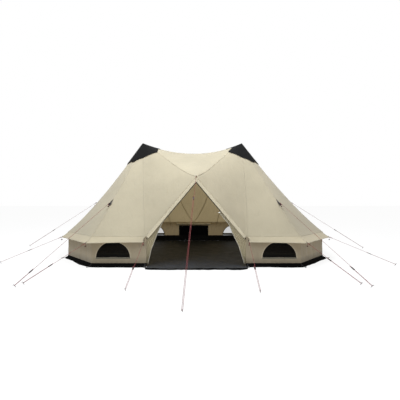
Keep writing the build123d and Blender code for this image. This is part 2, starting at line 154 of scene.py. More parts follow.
# ---------------------------------------------------------------- shader helpers
class Nodes:
    """Adds nodes to one tree. A source is a (node, output) pair, which the helpers return."""

    def __init__(self, tree):
        self.tree = tree
        tree.nodes.clear()

    def set(self, node, inputs):
        """Gives each named input a number, a vector, a colour or a source."""
        for key, value in inputs.items():
            socket = node.inputs[key]
            if isinstance(value, tuple) and isinstance(value[0], bpy.types.Node):
                self.tree.links.new(value[0].outputs[value[1]], socket)
            elif socket.type == "RGBA":
                socket.default_value = (*value, 1)
            else:
                socket.default_value = value

    def add(self, kind, inputs=None, **settings):
        node = self.tree.nodes.new(kind)
        for key, value in settings.items():
            setattr(node, key, value)
        self.set(node, inputs or {})
        return node

    def place(self, kind="Object", scale=(1, 1, 1)):
        """Texture coordinates, scaled."""
        where = self.add("ShaderNodeTexCoord")
        return self.add("ShaderNodeMapping", {"Vector": (where, kind), "Scale": scale}), "Vector"

    def height(self):
        """Height above the ground."""
        return self.add("ShaderNodeSeparateXYZ", {"Vector": self.place()}), "Z"

    def noise(self, scale, detail, roughness, at=None, distortion=0.0):
        inputs = {"Scale": scale, "Detail": detail, "Roughness": roughness, "Distortion": distortion}
        return self.add("ShaderNodeTexNoise", inputs | {"Vector": at or self.place()}), "Fac"

    def wave(self, scale, direction, at, distortion=0.0):
        inputs = {"Scale": scale, "Distortion": distortion, "Vector": at}
        return self.add("ShaderNodeTexWave", inputs, bands_direction=direction, wave_profile="SIN"), "Fac"

    def ramp(self, source, *stops):
        """Colours at two places, and even change between them."""
        node = self.add("ShaderNodeValToRGB", {"Fac": source})
        for element, (position, colour) in zip(node.color_ramp.elements, stops):
            element.position = position
            element.color = (*colour, 1)
        return node, "Color"

    def range(self, source, low, high, at_low=0.0, at_high=1.0):
        """Even change from at_low to at_high while the source goes from low to high."""
        inputs = {"From Min": low, "From Max": high, "To Min": at_low, "To Max": at_high}
        return self.add("ShaderNodeMapRange", inputs | {"Value": source}), "Result"

    def math(self, operation, a, b=0.0):
        return self.add("ShaderNodeMath", {0: a, 1: b}, operation=operation), "Value"

    def mix(self, kind, factor, a, b):
        """Mixes two colours. The colour sockets of this node are 6 and 7."""
        return self.add("ShaderNodeMix", {0: factor, 6: a, 7: b}, data_type="RGBA", blend_type=kind), "Result"

    def mix_shaders(self, share, a, b):
        return self.add("ShaderNodeMixShader", {"Fac": share, 1: a, 2: b}), "Shader"


class Shader(Nodes):
    """Nodes of one new material, with its main shader."""

    def __init__(self, name):
        self.material = bpy.data.materials.new(name)
        self.material.use_nodes = True
        super().__init__(self.material.node_tree)
        self.main = self.add("ShaderNodeBsdfPrincipled")
        self.out = self.add("ShaderNodeOutputMaterial", {"Surface": (self.main, "BSDF")})

    def look(self, **inputs):
        """Sets inputs of the main shader, named with _ for a space."""
        self.set(self.main, {key.replace("_", " "): value for key, value in inputs.items()})

    def bump(self, height, strength, distance, under=None):
        """Bumps of the main shader, on top of the coarser ones in under."""
        inputs = {"Height": height, "Strength": strength, "Distance": distance}
        if under:
            inputs["Normal"] = under
        normal = self.add("ShaderNodeBump", inputs), "Normal"
        self.look(Normal=normal)
        return normal

    def blend(self, share, other):
        """Mixes a share of another shader into the main one."""
        both = self.mix_shaders(share, (self.main, "BSDF"), (other, "BSDF"))
        self.set(self.out, {"Surface": both})


def weave_height(s, at, threads, slub):
    """Plain weave: two crossed waves, with a little unevenness in the yarn."""
    cross = s.math("MULTIPLY", s.wave(threads, "X", at, 0.4), s.wave(threads, "Y", at, 0.4))
    return s.math("ADD", cross, s.noise(slub, 4, 0.6, at))


def cloth_material(name, colour, through=0.0, mottle=0.08, threads=220, dirt=None,
                   sheen=0.25, warm=(1.0, 0.88, 0.66), wrinkle=0.35, gloss=0.2):
    """Woven cloth. through is the share of light that comes through it, tinted by warm."""
    s = Shader(name)
    tint = s.ramp(s.noise(0.9, 4, 0.55), (0.3, shade(colour, 1 - mottle)), (0.7, shade(colour, 1 + mottle)))
    yarn = s.ramp(s.noise(260, 3, 0.6), (0.35, grey(0.93)), (0.65, grey(1)))
    base = s.mix("MULTIPLY", 0.8, tint, yarn)
    if dirt:
        near_ground = s.range(s.height(), 0.08, 0.22, 1.0, 0.0)
        base = s.mix("MIX", s.math("MULTIPLY", near_ground, s.noise(14, 6, 0.65)), base, dirt)
    s.look(Base_Color=base, Roughness=0.88, Sheen_Weight=sheen, Sheen_Roughness=0.5, Specular_IOR_Level=gloss)
    pull = s.noise(2.2, 3, 0.5, s.place("Object", (2.6, 2.6, 0.7)), 0.6)
    folds = s.bump(pull, wrinkle, 0.05)
    normal = s.bump(weave_height(s, s.place("UV"), threads, 900), 0.25, 0.0004, folds)
    if through:
        lit = s.mix("MULTIPLY", 1.0, base, warm)
        s.blend(through, s.add("ShaderNodeBsdfTranslucent", {"Color": lit, "Normal": normal}))
    return s.material


def coated_material(name, colour, roughness, wrinkle=0.4, crease_scale=6, gloss=0.5, rim=1.0):
    """Coated, waterproof cloth with soft creases. rim paints shade: it darkens what stands up from the ground
    and dims its gloss.
    """
    s = Shader(name)
    at = s.place()
    dust = s.noise(3.5, 6, 0.6)
    tint = s.ramp(dust, (0.35, shade(colour, 0.8)), (0.75, shade(colour, 1.35)))
    # Painted shade: cloth 18 to 35 mm above the ground gets its colour and gloss scaled by rim.
    standing = s.range(s.height(), 0.018, 0.035)
    s.look(
        Base_Color=s.mix("MIX", standing, tint, shade(colour, rim)),
        Specular_IOR_Level=s.math("ADD", s.math("MULTIPLY", standing, gloss * (rim - 1)), gloss),
        Roughness=s.ramp(dust, (0.3, grey(roughness - 0.08)), (0.7, grey(roughness + 0.12))),
    )
    ribs = s.math("MULTIPLY", s.wave(180, "DIAGONAL", at), 0.01)
    s.bump(s.math("ADD", s.noise(crease_scale, 5, 0.55, at), ribs), wrinkle, 0.02)
    return s.material


def mesh_material(name, colour, clear):
    """Insect mesh: dark threads, and the share of light that passes between them."""
    s = Shader(name)
    threads = weave_height(s, s.place("UV"), 160, 300)
    tint = s.ramp(threads, (0.3, shade(colour, 0.6)), (1.0, shade(colour, 1.4)))
    s.look(Base_Color=tint, Roughness=0.8, Specular_IOR_Level=0.05)
    s.bump(threads, 0.3, 0.0005)
    s.blend(clear, s.add("ShaderNodeBsdfTransparent"))
    return s.material


def metal_material(name, colour, roughness, metallic=1.0):
    """Brushed or painted tube and wire, with fine scratches and dull patches."""
    s = Shader(name)
    lines = s.noise(14, 5, 0.7, s.place("Object", (60, 60, 4)))
    s.look(
        Base_Color=s.ramp(lines, (0.3, shade(colour, 0.75)), (0.7, shade(colour, 1.15))),
        Roughness=s.ramp(s.noise(22, 4, 0.6), (0.3, grey(roughness - 0.08)), (0.75, grey(roughness + 0.15))),
        Metallic=metallic,
    )
    s.bump(lines, 0.25, 0.0003)
    return s.material


def plastic_material(name, colour, roughness):
    """Moulded plastic or rubber with a fine grain and rubbed patches."""
    s = Shader(name)
    wear = s.noise(30, 5, 0.6)
    s.look(
        Base_Color=s.ramp(wear, (0.3, shade(colour, 0.8)), (0.75, shade(colour, 1.5))),
        Roughness=s.ramp(wear, (0.3, grey(roughness - 0.1)), (0.7, grey(roughness + 0.1))),
        Specular_IOR_Level=0.2,
    )
    s.bump(s.noise(1200, 2, 0.5), 0.2, 0.0004)
    return s.material


def rope_material(name, colour, fleck):
    """Braided cord: crossing diagonal strands with a fleck of a second colour."""
    s = Shader(name)
    braid = s.wave(420, "DIAGONAL", s.place(), 1.5)
    strands = s.ramp(braid, (0.2, shade(colour, 0.65)), (0.7, colour))
    flecks = s.ramp(s.noise(700, 2, 0.5), (0.55, grey(0)), (0.62, grey(1)))
    base = s.mix("MIX", flecks, strands, fleck)
    s.look(Base_Color=base, Roughness=0.7, Sheen_Weight=0.05, Specular_IOR_Level=0.2)
    s.bump(braid, 0.5, 0.0006)
    return s.material


CANVAS = (0.450, 0.405, 0.296)
MATERIALS = {}


def make_materials():
    tape = dict(threads=400)
    black = dict(threads=300, sheen=0.0)
    MATERIALS.update(
        canvas=cloth_material("canvas", CANVAS, through=0.42),
        seam=cloth_material("seam", shade(CANVAS, 0.95), through=0.40),
        hem=cloth_material("hem", shade(CANVAS, 0.90), through=0.35),
        wall=cloth_material(
            "wall", (0.345, 0.295, 0.21), through=0.34, wrinkle=0.7,
            warm=(1.0, 0.92, 0.76), dirt=(0.13, 0.105, 0.07),
        ),
        door=cloth_material("door", (0.335, 0.29, 0.185), through=0.14),
        # Painted light: the rolled rear flap is far lighter than the door cloth it is made of.
        roll=cloth_material("roll_cloth", (0.60, 0.56, 0.46), through=0.15),
        # cover_cloth is dark olive as painted shade: the covers are beige cloth seen in shadow behind the
        # mesh.
        cover=cloth_material("cover_cloth", (0.085, 0.082, 0.052)),
        # Painted light: the door's edge bands are a lighter copy of the canvas.
        facing=cloth_material("door_facing", shade(CANVAS, 1.12), through=0.16),
        edge=cloth_material("edge_tape", (0.36, 0.34, 0.28), **tape),
        # window_band is dark olive as painted shade: it stands for the beige inner cover seen in shadow
        # behind the mesh.
        band=cloth_material("window_band", (0.125, 0.115, 0.085), **tape),
        bind=cloth_material("window_tape", (0.33, 0.285, 0.205), **tape),
        cap=cloth_material("cap_cloth", grey(0.004), mottle=0.2, gloss=0.1, **black),
        patch=cloth_material("patch_cloth", (0.035, 0.032, 0.030), mottle=0.25, **black),
        hatch=cloth_material("hatch_cloth", (0.0015, 0.0020, 0.0035), mottle=0.3, gloss=0.1, **black),
        webbing=cloth_material("webbing", (0.008, 0.008, 0.009), mottle=0.2, threads=500, sheen=0.0),
        mud=coated_material("mud_strip", grey(0.002), 0.8, gloss=0.03),
        # rim=0.28 paints shade on the groundsheet's upright rim and raised sill edge: darker and less glossy
        # than its floor.
        floor=coated_material("groundsheet", (0.0140, 0.0170, 0.0225), 0.55, 0.5, 5, gloss=0.35, rim=0.28),
        # Painted shade: the front panes pass only 0.20 of the light, against 0.60 at the rear, so that they
        # show near black where the shaded interior is.
        mesh=mesh_material("window_mesh", (0.001, 0.001, 0.0015), 0.20),
        fine_mesh=mesh_material("window_mesh_rear", (0.002, 0.002, 0.003), 0.60),
        rope=rope_material("guy_rope", (0.135, 0.010, 0.014), (0.26, 0.10, 0.09)),
        runner=plastic_material("runner_plastic", (0.030, 0.014, 0.013), 0.6),
        rubber=plastic_material("rubber", grey(0.018), 0.65),
        toggle=plastic_material("toggle_dark", (0.040, 0.010, 0.008), 0.65),
        white=plastic_material("toggle_white", (0.62, 0.62, 0.60), 0.4),
        peg=metal_material("peg_steel", (0.07, 0.07, 0.073), 0.45),
        ring=metal_material("ring_steel", (0.12, 0.12, 0.123), 0.40),
        pole=metal_material("pole_steel", (0.50, 0.50, 0.51), 0.38),
        frame=metal_material("frame_paint", (0.030, 0.027, 0.022), 0.40, 0.3),
    )


# ---------------------------------------------------------------- mesh helpers
def add_piece(name, verts, faces, material, smooth=True, uv=None):
    """Mesh piece in the CAD frame, riding on the tent. uv is a list of (u, v), one for each vertex."""
    data = bpy.data.meshes.new(name)
    data.from_pydata([tuple(v) for v in verts], [], faces)
    data.update()
    if uv is not None:
        layer = data.uv_layers.new(name="UVMap")
        corners = np.zeros(len(data.loops), np.int32)
        data.loops.foreach_get("vertex_index", corners)
        layer.data.foreach_set("uv", np.asarray(uv, np.float32)[corners].ravel())
    data.polygons.foreach_set("use_smooth", [smooth] * len(data.polygons))
    obj = bpy.data.objects.new(name, data)
    bpy.context.collection.objects.link(obj)
    data.materials.append(MATERIALS[material])
    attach(obj, BODY)
    return obj


def thicken(obj, thickness, offset=0.0):
    """Gives a sheet its thickness, evenly on both sides or, with offset 1, outward."""
    solid = obj.modifiers.new("cloth_thickness", "SOLIDIFY")
    solid.thickness = thickness
    solid.offset = offset
    solid.use_even_offset = False


def tangents(points):
    """Direction of a line of points at each of them."""
    last = len(points) - 1
    return [(points[min(i + 1, last)] - points[max(i - 1, 0)]).normalized() for i in range(last + 1)]


class Parts:
    """Collects vertices, faces and UVs of several shapes into one mesh piece."""

    def __init__(self):
        self.verts = []
        self.faces = []
        self.uv = []

    def grid(self, rows, closed=False, cap=False):
        """Faces over a grid of points. closed joins the last column to the first."""
        first = len(self.verts)
        count = len(rows[0])
        run_v = 0.0
        for r, row in enumerate(rows):
            if r:
                run_v += (Vector(row[0]) - Vector(rows[r - 1][0])).length
            run_u = 0.0
            for c, point in enumerate(row):
                if c:
                    run_u += (Vector(point) - Vector(row[c - 1])).length
                self.verts.append(tuple(point))
                self.uv.append((run_u, run_v))
        columns = count if closed else count - 1
        for r in range(len(rows) - 1):
            for c in range(columns):
                a = first + r * count + c
                b = first + r * count + (c + 1) % count
                self.faces.append((a, b, b + count, a + count))
        if cap:
            self.faces.append(tuple(first + c for c in reversed(range(count))))
            last = first + (len(rows) - 1) * count
            self.faces.append(tuple(last + c for c in range(count)))

    def tube(self, points, radius, around=8, cap=True):
        """Round tube along points. radius is a number or one for each point."""
        points = [Vector(p) for p in points]
        radii = radius if isinstance(radius, list) else [radius] * len(points)
        rows = []
        normal = (points[1] - points[0]).normalized().orthogonal().normalized()
        for p, tangent, r in zip(points, tangents(points), radii):
            normal = (normal - tangent * normal.dot(tangent)).normalized()
            other = tangent.cross(normal)
            turn = angles(around, around)
            rows.append([p + (normal * math.cos(a) + other * math.sin(a)) * r for a in turn])
        self.grid(rows, closed=True, cap=cap)

    def strap(self, points, sideways, width, thickness):
        """Flat band along points, its width lying along the direction sideways."""
        rows = []
        for p, tangent in zip(points, tangents(points)):
            side = (sideways - tangent * sideways.dot(tangent)).normalized()
            up = tangent.cross(side) * (thickness / 2)
            side *= width / 2
            rows.append([p + side + up, p - side + up, p - side - up, p + side - up])
        self.grid(rows, closed=True, cap=True)

    def torus(self, centre, axis, radius, wire, around=20, section=8):
        """Ring of round wire about an axis."""
        axis = Vector(axis).normalized()
        x = axis.orthogonal().normalized()
        y = axis.cross(x)
        turn = angles(around, around + 1)
        ring = [centre + (x * math.cos(a) + y * math.sin(a)) * radius for a in turn]
        self.tube(ring, wire, section, cap=False)

    def piece(self, name, material, slot, smooth=True):
        """Makes the piece from what has been collected."""
        return add_piece(name, self.verts, self.faces, material, smooth, self.uv)


# ---------------------------------------------------------------- guy ropes
def seam_guy(side, corner):
    """Attachment above the roof seam that runs to one point of wall_line."""
    return PEAK[side].lerp(wall_line(side)[corner], SEAM_GUY_SHARE) + UP * SEAM_GUY_LIFT


# Attachment on the tent, peg on the ground, share of the way down to the runner.
GUYS = {
    "door": (Vector((0, -1.896, 2.06)), (-0.247, -4.278), 0.245),
    "front_left_inner": (eave_line(-1)[0], (-1.215, -3.471), 0.62),
    "front_left_corner": (eave_line(-1)[1], (-3.106, -3.144), 0.60),
    "side_left_front": (eave_line(-1)[2], (-4.635, -1.598), 0.53),
    "roof_left_front": (seam_guy(-1, 1), (-3.163, -3.282), 0.87),
    "roof_left_end": (seam_guy(-1, 3), (-5.309, 0.635), 0.62),
    "side_left_rear": (eave_line(-1)[4], (-4.48, 1.69), 0.60),
    "rear_left_corner": (eave_line(-1)[5], (-3.005, 3.15), 0.58),
    "rear_left_inner": (eave_line(-1)[6], (-0.985, 3.51), 0.62),
    "roof_left_rear": (seam_guy(-1, 5), (-3.08, 3.31), 0.80),
    "front_right_inner": (eave_line(1)[0], (0.997, -3.568), 0.60),
    "front_right_corner": (eave_line(1)[1], (2.885, -3.171), 0.45),
    "side_right_front": (eave_line(1)[2], (4.566, -1.814), 0.62),
    "roof_right_front": (seam_guy(1, 1), (2.98, -3.3), 0.84),
    "roof_right_end": (seam_guy(1, 3), (5.223, 0.305), 0.60),
    "side_right_rear": (eave_line(1)[4], (4.46, 1.72), 0.56),
    "rear_right_corner": (eave_line(1)[5], (2.99, 3.17), 0.62),
    "rear_right_inner": (eave_line(1)[6], (0.96, 3.53), 0.58),
    "roof_right_rear": (seam_guy(1, 5), (3.07, 3.33), 0.80),
}


def guy_layout(tip, peg):
    """Rope start, first corner at the peg, direction of the strands, and their sideways axis."""
    flat = Vector((peg[0] - tip.x, peg[1] - tip.y, 0))
    fall = math.atan2(tip.z - LOOP_Z, flat.length)
    flat.normalize()
    loop = Vector((peg[0], peg[1], LOOP_Z)) + flat * (LOOP_Z * math.tan(fall))
    start = tip + (loop - tip).normalized() * ROPE_OUT
    side = Vector((-flat.y, flat.x, 0))
    beside = loop + side * LOOP_R
    down = (beside - start).normalized()
    across = (side - down * side.dot(down)).normalized()
    return start, beside + down * LOOP_R, down, across


def guy_route(tip, peg, share):
    """Rope from the tent, round the peg and back through the runner."""
    start, corner, down, across = guy_layout(tip, peg)
    second = corner - across * LOOP_GAP
    back = (corner - start).length * (1 - share) + RUNNER_L / 2 + TAIL
    near_peg = [down * (PEG_STRAIGHT * k) for k in (3, 2, 1)]
    there = [corner - step for step in near_peg]
    home = [second - step for step in reversed(near_peg)]
    return [start, *there, corner, second, *home, second - down * back]


def guy_knots(name, tip, peg, share):
    """Loop through the ring with its knot, and the stopper knot behind the runner."""
    start, corner, down, across = guy_layout(tip, peg)
    up = down.cross(across)
    end = guy_route(tip, peg, share)[-1]
    parts = Parts()
    parts.tube([
        start - down * (EYE_BACK + EYE_HALF_L * math.cos(a)) + up * (EYE_HALF_W * math.sin(a))
        for a in angles(16, 17)
    ], ROPE_R * 0.9, 8)
    for place, turns in ((start + down * EYE_HALF_L, 4), (end - down * STOPPER_BACK, 3)):
        coil = []
        for a in angles(10, turns * 10 + 1):
            lift = (across * math.cos(a) + up * math.sin(a)) * (ROPE_R * KNOT_REACH)
            coil.append(place + down * (a / (2 * math.pi) * ROPE_R * KNOT_PITCH) + lift)
        parts.tube(coil, ROPE_R * 0.95, 7)
    return parts.piece(f"guy_knots_{name}", "rope", "guy_rope")


def make_guy(name, tip, peg, share):
    """One guy rope with its knots, as a tube along a curve that runs round its peg and back through its
    runner.
    """
    route = guy_route(tip, peg, share)
    data = bpy.data.curves.new(f"guy_line_{name}", "CURVE")
    data.dimensions = "3D"
    spline = data.splines.new("NURBS")
    spline.points.add(len(route) - 1)
    for point, place in zip(spline.points, route):
        point.co = (*place, 1)
    spline.order_u = 3
    spline.use_endpoint_u = True
    data.resolution_u = 16
    data.bevel_depth = ROPE_R
    data.bevel_resolution = 3
    data.use_fill_caps = True
    rope = bpy.data.objects.new(f"guy_line_{name}", data)
    bpy.context.collection.objects.link(rope)
    data.materials.append(MATERIALS["rope"])
    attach(rope, BODY)
    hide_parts(f"guy_rope_{name}")
    knots = guy_knots(name, tip, peg, share)


# ---------------------------------------------------------------- tensioned roof
class Net:
    """Cloth as a net of pulled threads, brought to balance (force density)."""

    def __init__(self):
        self.points = []
        self.where = {}
        self.faces = []
        self.fixed = {}
        self.pull = {}
        self.uv = []

    def vertex(self, point, uv=(0, 0)):
        key = tuple(round(c, 5) for c in point)
        if key not in self.where:
            self.where[key] = len(self.points)
            self.points.append(Vector(point))
            self.uv.append(uv)
        return self.where[key]

    def thread(self, a, b, strength):
        """Thread from a to b. The strongest of several between the same two points counts."""
        if a != b:
            key = (min(a, b), max(a, b))
            self.pull[key] = max(strength, self.pull.get(key, 0))

    def hold(self, index, point=None):
        self.fixed[index] = Vector(point if point is not None else self.points[index])

    def balance(self, steps=900):
        """Conjugate gradients on the free points."""
        x = np.array([tuple(p) for p in self.points])
        for index, point in self.fixed.items():
            x[index] = point
        free = np.ones(len(x), bool)
        free[list(self.fixed)] = False
        a, b = np.array(list(self.pull)).T
        q = np.array(list(self.pull.values()))
        count = len(x)

        def forces(y):
            f = (y[a] - y[b]) * q[:, None]
            total = np.zeros_like(y)
            for axis in range(3):
                total[:, axis] = np.bincount(a, f[:, axis], count) - np.bincount(b, f[:, axis], count)
            total[~free] = 0
            return total

        residual = -forces(x)
        step = residual.copy()
        size = (residual**2).sum(0)
        for _ in range(steps):
            pushed = forces(step)
            share = size / np.maximum((step * pushed).sum(0), 1e-18)
            x += share * step
            residual -= share * pushed
            new = (residual**2).sum(0)
            if new.max() < 1e-12:
                break
            step = residual + (new / np.maximum(size, 1e-18)) * step
            size = new
        self.points = [Vector(p) for p in x]


ROWS = 44                   # from a peak to the wall
EAVE_ROWS = 6
COLUMNS = [16, 14, 14, 12, 12, 14, 16, 9]   # between the seams, from the door round to the rear
RIDGE_COLUMNS = 32
SEAM_PULL = 9.0
DOOR_SEAM_PULL = 40.0
DOWN_PULL = 1.6
ROUND_PULL = 0.55
EAVE_PULL = 1.2
EAVE_ROUND_PULL = 1.0
HEM_PULL = 160.0
UV_ROUND = 0.12             # texture's metres for a step round the roof, down it, and along the ridge
UV_DOWN = 0.07
UV_RIDGE = 0.09
UV_APART = 40               # keeps the two sides' textures apart
SEAM_GUY_DROP = 0.018       # the cloth lies this far under the straight seam at its guys


def ridge_point(share):
    """Point of the ridge. share goes from the left peak to the right one."""
    x = PEAK[-1].x + (PEAK[1].x - PEAK[-1].x) * share
    reach = PEAK[1].x if x > 0 else -PEAK[-1].x
    return Vector((x, 0, RIDGE_MID_Z + (PEAK[1].z - RIDGE_MID_Z) * (x / reach) ** 2))


def boundary(corners):
    """Points along straight edges between corners, and the index of each corner."""
    line = [corners[0]]
    marks = [0]
    for a, b, steps in zip(corners, corners[1:], COLUMNS[len(COLUMNS) - len(corners) + 1:]):
        line += [a.lerp(b, k / steps) for k in range(1, steps + 1)]
        marks.append(len(line) - 1)
    return line, marks


class Roof:
    """The roof's net, with the rows of vertices of each part."""

    def __init__(self):
        self.net = Net()
        self.fans = {}
        self.marks = {}
        self.eaves = {}
        for side in SIDES:
            self.fan(side)
            self.eave(side)
        self.middle("front", DOOR_APEX)
        self.middle("rear", REAR_SEAM_FOOT)
        self.net.balance()
        self.ripple()
        self.normals = self.vertex_normals()

    def part(self, vertex, rows, columns, turned, down, across):
        """Vertices from vertex(row, column), with their faces and the threads of the weave.

        The last row gets no threads across. On the middle line the shape hangs on the threads' order.
        """
        net = self.net
        grid = [[net.vertex(*vertex(r, c)) for c in range(columns + 1)] for r in range(rows + 1)]
        for r in range(rows):
            for c in range(columns):
                face = [grid[r][c], grid[r][c + 1], grid[r + 1][c + 1], grid[r + 1][c]]
                kept = [v for i, v in enumerate(face) if v != face[i - 1]]
                if len(kept) > 2:
                    net.faces.append(tuple(kept if turned else reversed(kept)))
                net.thread(face[0], face[1], across)
                net.thread(face[0], face[3], down)
            net.thread(grid[r][-1], grid[r + 1][-1], down)
        return grid

    def seam(self, grid, column, strength=SEAM_PULL):
        for above, below in zip(grid, grid[1:]):
            self.net.thread(above[column], below[column], strength)

    def fan(self, side):
        """Panels from a peak to the wall, held at both and at the guys on the seams."""
        foot, marks = boundary([DOOR_APEX] + wall_line(side))

        def vertex(r, c):
            s = r / ROWS
            return PEAK[side].lerp(foot[c], s), (side * (c * UV_ROUND * s + UV_APART), r * UV_DOWN)

        grid = self.part(vertex, ROWS, len(foot) - 1, side < 0, DOWN_PULL, ROUND_PULL)
        for column in marks:
            self.seam(grid, column, SEAM_PULL if column else DOOR_SEAM_PULL)
        for index in grid[0] + grid[-1]:
            self.net.hold(index)
        for corner in SEAM_GUY_MARKS:
            index = grid[round(SEAM_GUY_SHARE * ROWS)][marks[corner]]
            self.net.hold(index, self.net.points[index] - UP * SEAM_GUY_DROP)
        self.fans[side] = grid
        self.marks[side] = marks

    def eave(self, side):
        """Overhang below the wall's top, held at its tips."""
        inner, marks = boundary(wall_line(side))
        outer, _ = boundary(eave_line(side))

        def vertex(r, c):
            uv = (side * (c * UV_ROUND + UV_APART), (ROWS + r * 0.5) * UV_DOWN)
            return inner[c].lerp(outer[c], r / EAVE_ROWS), uv

        grid = self.part(vertex, EAVE_ROWS, len(inner) - 1, side < 0, EAVE_PULL, EAVE_ROUND_PULL)
        for a, b in zip(grid[-1], grid[-1][1:]):
            self.net.thread(a, b, HEM_PULL)
        for column in marks:
            self.seam(grid, column)
            self.net.hold(grid[-1][column])
        self.eaves[side] = grid

    def middle(self, name, foot):
        """Part between the two peaks, from the ridge, where it is held, down to one point."""

        def vertex(r, c):
            s = 1 - r / ROWS
            return foot.lerp(ridge_point(c / RIDGE_COLUMNS), s), (c * UV_RIDGE * s, r * UV_DOWN)

        grid = self.part(vertex, ROWS, RIDGE_COLUMNS, name == "rear", DOWN_PULL, ROUND_PULL * 2)
        self.seam(grid, 0)
        self.seam(grid, -1)
        for index in grid[0]:
            self.net.hold(index)
        self.fans[name] = grid

    def ripple(self):
        """Slight unevenness of hand-pitched cloth, away from what holds it."""
        for index, p in enumerate(self.net.points):
            if index in self.net.fixed:
                continue
            depth = 0.0045 * wobble((p.x, p.y, p.z * 0.5), 1.3, 3.1)
            depth += 0.0018 * wobble((p.x, p.y, p.z * 0.35), 5.0, 7.7)
            axis = Vector((p.x - PEAK[1 if p.x > 0 else -1].x, p.y, 0.7))
            self.net.points[index] = p + axis.normalized() * depth

    def vertex_normals(self):
        points = np.array([tuple(p) for p in self.net.points])
        total = np.zeros_like(points)
        for f in self.net.faces:
            n = np.cross(points[f[1]] - points[f[0]], points[f[2]] - points[f[0]])
            for index in f:
                total[index] += n
        total /= np.maximum(np.linalg.norm(total, axis=1), 1e-12)[:, None]
        return [Vector(n) for n in total]

    def row_at(self, grid, column, distance):
        """Fractional row of a column at a distance from its top along the cloth."""
        before = self.on(grid, 0, column)[0]
        for r in range(1, len(grid)):
            here = self.on(grid, r, column)[0]
            step = (here - before).length
            if step >= distance:
                return r - 1 + distance / step
            distance -= step
            before = here
        return len(grid) - 1

    def on(self, grid, row, column, lift=0.0):
        """Point on the cloth at a fractional row and column, lifted off it, and the cloth's normal."""
        r = min(max(int(row), 0), len(grid) - 2)
        c = min(max(int(column), 0), len(grid[0]) - 2)
        fr, fc = row - r, column - c
        corners = (
            (grid[r][c], (1 - fr) * (1 - fc)),
            (grid[r][c + 1], (1 - fr) * fc),
            (grid[r + 1][c], fr * (1 - fc)),
            (grid[r + 1][c + 1], fr * fc),
        )
        point = sum((self.net.points[i] * w for i, w in corners), Vector())
        normal = sum((self.normals[i] * w for i, w in corners), Vector()).normalized()
        return point + normal * lift, normal


def make_roof():
    """Roof cloth in tension. The seams, caps and patches are laid on the Roof that it returns."""
    roof = Roof()
    net = roof.net
    piece = add_piece("roof_cloth", net.points, net.faces, "canvas", True, net.uv)
    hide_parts("canopy")
    return roof


SEAM_SIZE = (0.022, 0.0022)     # width and height of the felled seams, the eave's hem and its join
HEM_SIZE = (0.034, 0.0026)
JOIN_SIZE = (0.018, 0.002)


def ribbon(parts, roof, grid, path, width, lift):
    """Sewn strip on the roof. path is a list of (row, column)."""
    rows = []
    points, normals = zip(*(roof.on(grid, r, c) for r, c in path))
    for point, normal, tangent in zip(points, normals, tangents(points)):
        side = tangent.cross(normal).normalized() * (width / 2)
        rows.append([
            point + side - normal * 0.0005,
            point + side * 0.96 + normal * lift,
            point - side * 0.96 + normal * lift,
            point - side - normal * 0.0005,
        ])
    parts.grid(rows)


def make_seams(roof):
    """Felled seams from the peaks to the wall and on to the eave's tips."""
    seams = Parts()
    for side in SIDES:
        marks = roof.marks[side]
        for column in marks:
            ribbon(seams, roof, roof.fans[side], [(r, column) for r in range(1, ROWS + 1)], *SEAM_SIZE)
        first = marks[1]
        for column in marks[1:]:
            path = [(r, column - first) for r in range(EAVE_ROWS + 1)]
            ribbon(seams, roof, roof.eaves[side], path, *SEAM_SIZE)
    seams.piece("roof_seams", "seam", "canopy_cloth")
    hems = Parts()
    for side in SIDES:
        fan, eave = roof.fans[side], roof.eaves[side]
        hem = [(EAVE_ROWS - 0.07, c / 2) for c in range(2 * len(eave[0]) - 1)]
        ribbon(hems, roof, eave, hem, *HEM_SIZE)
        join = [(ROWS - 0.12, c / 2) for c in range(2 * roof.marks[side][1], 2 * len(fan[0]) - 1)]
        ribbon(hems, roof, fan, join, *JOIN_SIZE)
    hems.piece("eave_hem", "hem", "canopy_cloth")


# Reach of the vent caps down the seams, from the door round to the rear.
CAP_SHARES = (0.28, 0.21, 0.24, 0.248, 0.25, 0.248, 0.24, 0.21, 0.25)
CAP_BOW = 0.035             # the hem curves up by this share between its corners
CAP_RIDGE_COLUMNS = 12
CAP_ROWS = 10
CAP_LIFT = 0.010            # above the roof, and what the curved stretches of the hem add
CAP_BOW_LIFT = 0.006
CAP_T = 0.003
CAP_HEM_R = 0.0045


def cap_point(roof, side, turn, part):
    """Point under the vent cap: turn goes round the peak, part is 0 at the peak and 1 at the hem."""
    grid, marks = roof.fans[side], roof.marks[side]
    if turn <= marks[-1]:
        reach = part * np.interp(turn, marks, CAP_SHARES)
        distance = reach * (roof.net.points[grid[-1][turn]] - PEAK[side]).length
        return roof.on(grid, roof.row_at(grid, turn, distance), turn)
    share = (turn - marks[-1]) / CAP_RIDGE_COLUMNS
    a, b = cap_point(roof, side, marks[-1], part)[0], cap_point(roof, side, 0, part)[0]
    x = PEAK[side].x * (1 - part / 3)
    ridge = ridge_point((x - PEAK[-1].x) / (PEAK[1].x - PEAK[-1].x))
    point = a.lerp(ridge, share * 2) if share < 0.5 else ridge.lerp(b, share * 2 - 1)
    return point, Vector((0, (0.5 - share) * 1.2, 1)).normalized()


